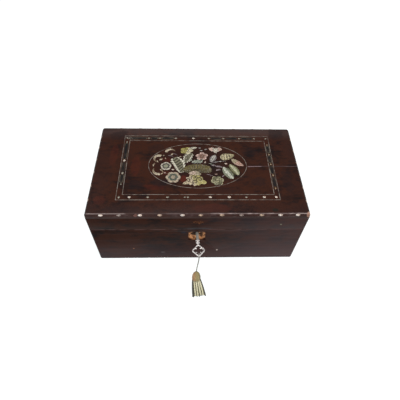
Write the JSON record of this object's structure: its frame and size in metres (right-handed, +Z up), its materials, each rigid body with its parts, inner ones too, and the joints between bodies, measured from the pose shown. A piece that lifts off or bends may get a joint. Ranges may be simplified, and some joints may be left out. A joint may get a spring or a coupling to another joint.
{
  "type": "shell box",
  "caption": "Hinged lockable wooden box with shell flowers and stringing inlaid in its lid, and a key with a tassel in the lock.",
  "frame": {"origin": "centre of the underside", "axes": "+X to the right along the front, +Z up, and the front with the keyhole faces -Y"},
  "size_m": [0.3, 0.2404, 0.1155],
  "materials": {
    "rosewood": "old polish, worn at the arrises",
    "shell": "polished mother-of-pearl, engraved",
    "pewter": "dull grey stringing",
    "steel": "dull, lightly rusted",
    "bright_steel": "bright from handling",
    "brass": "dark with age",
    "cord": "twisted silk",
    "tassel": "faded silk strands"
  },
  "bodies": {
    "base": {"base_front": "rosewood", "base_back": "rosewood", "base_left": "rosewood", "base_right": "rosewood", "base_bottom": "rosewood", "box_lock": "steel", "key": "bright_steel", "key_cord": "cord", "tassel_head": "tassel", "tassel_skirt": "tassel", "hinge_left_base_leaf": "brass", "hinge_right_base_leaf": "brass", "hinge_left_pin": "brass", "hinge_right_pin": "brass"},
    "lid": {"lid_front": "rosewood", "lid_back": "rosewood", "lid_left": "rosewood", "lid_right": "rosewood", "lid_top": "rosewood", "lock_catch": "steel", "hinge_left_lid_leaf": "brass", "hinge_right_lid_leaf": "brass", "stringing_outer": "pewter", "stringing_inner": "pewter", "stringing_oval": "pewter", "edge_shell_01": "shell", "edge_shell_02": "shell", "edge_shell_03": "shell", "edge_shell_04": "shell", "edge_shell_05": "shell", "edge_shell_06": "shell", "edge_shell_07": "shell", "edge_shell_08": "shell", "edge_shell_09": "shell", "edge_shell_10": "shell", "edge_shell_11": "shell", "shell_basket": "shell", "shell_basket_leaf": "shell", "shell_basket_bud": "shell", "shell_ringed_flower": "shell", "shell_large_flower": "shell", "shell_toothed_leaf": "shell", "shell_yellow_flower": "shell", "shell_pale_bud": "shell", "shell_leaf_cluster": "shell", "shell_pink_flower": "shell", "shell_teal_leaf": "shell", "shell_butterfly": "shell", "shell_ribbed_leaf": "shell", "shell_paisley": "shell", "shell_pink_leaf": "shell", "shell_fruit_left": "shell", "shell_fruit_right": "shell", "shell_rose": "shell", "shell_scroll_back": "shell", "shell_scroll_left": "shell", "shell_scroll_front": "shell", "shell_purple_leaf": "shell"}
  },
  "joints": [
    {"name": "lid_hinge", "type": "hinge", "parent": "base", "child": "lid", "pos_m": [0, 0.0834, 0.0815], "axis": [-1, 0, 0], "range_deg": [0, 100]}
  ]
}
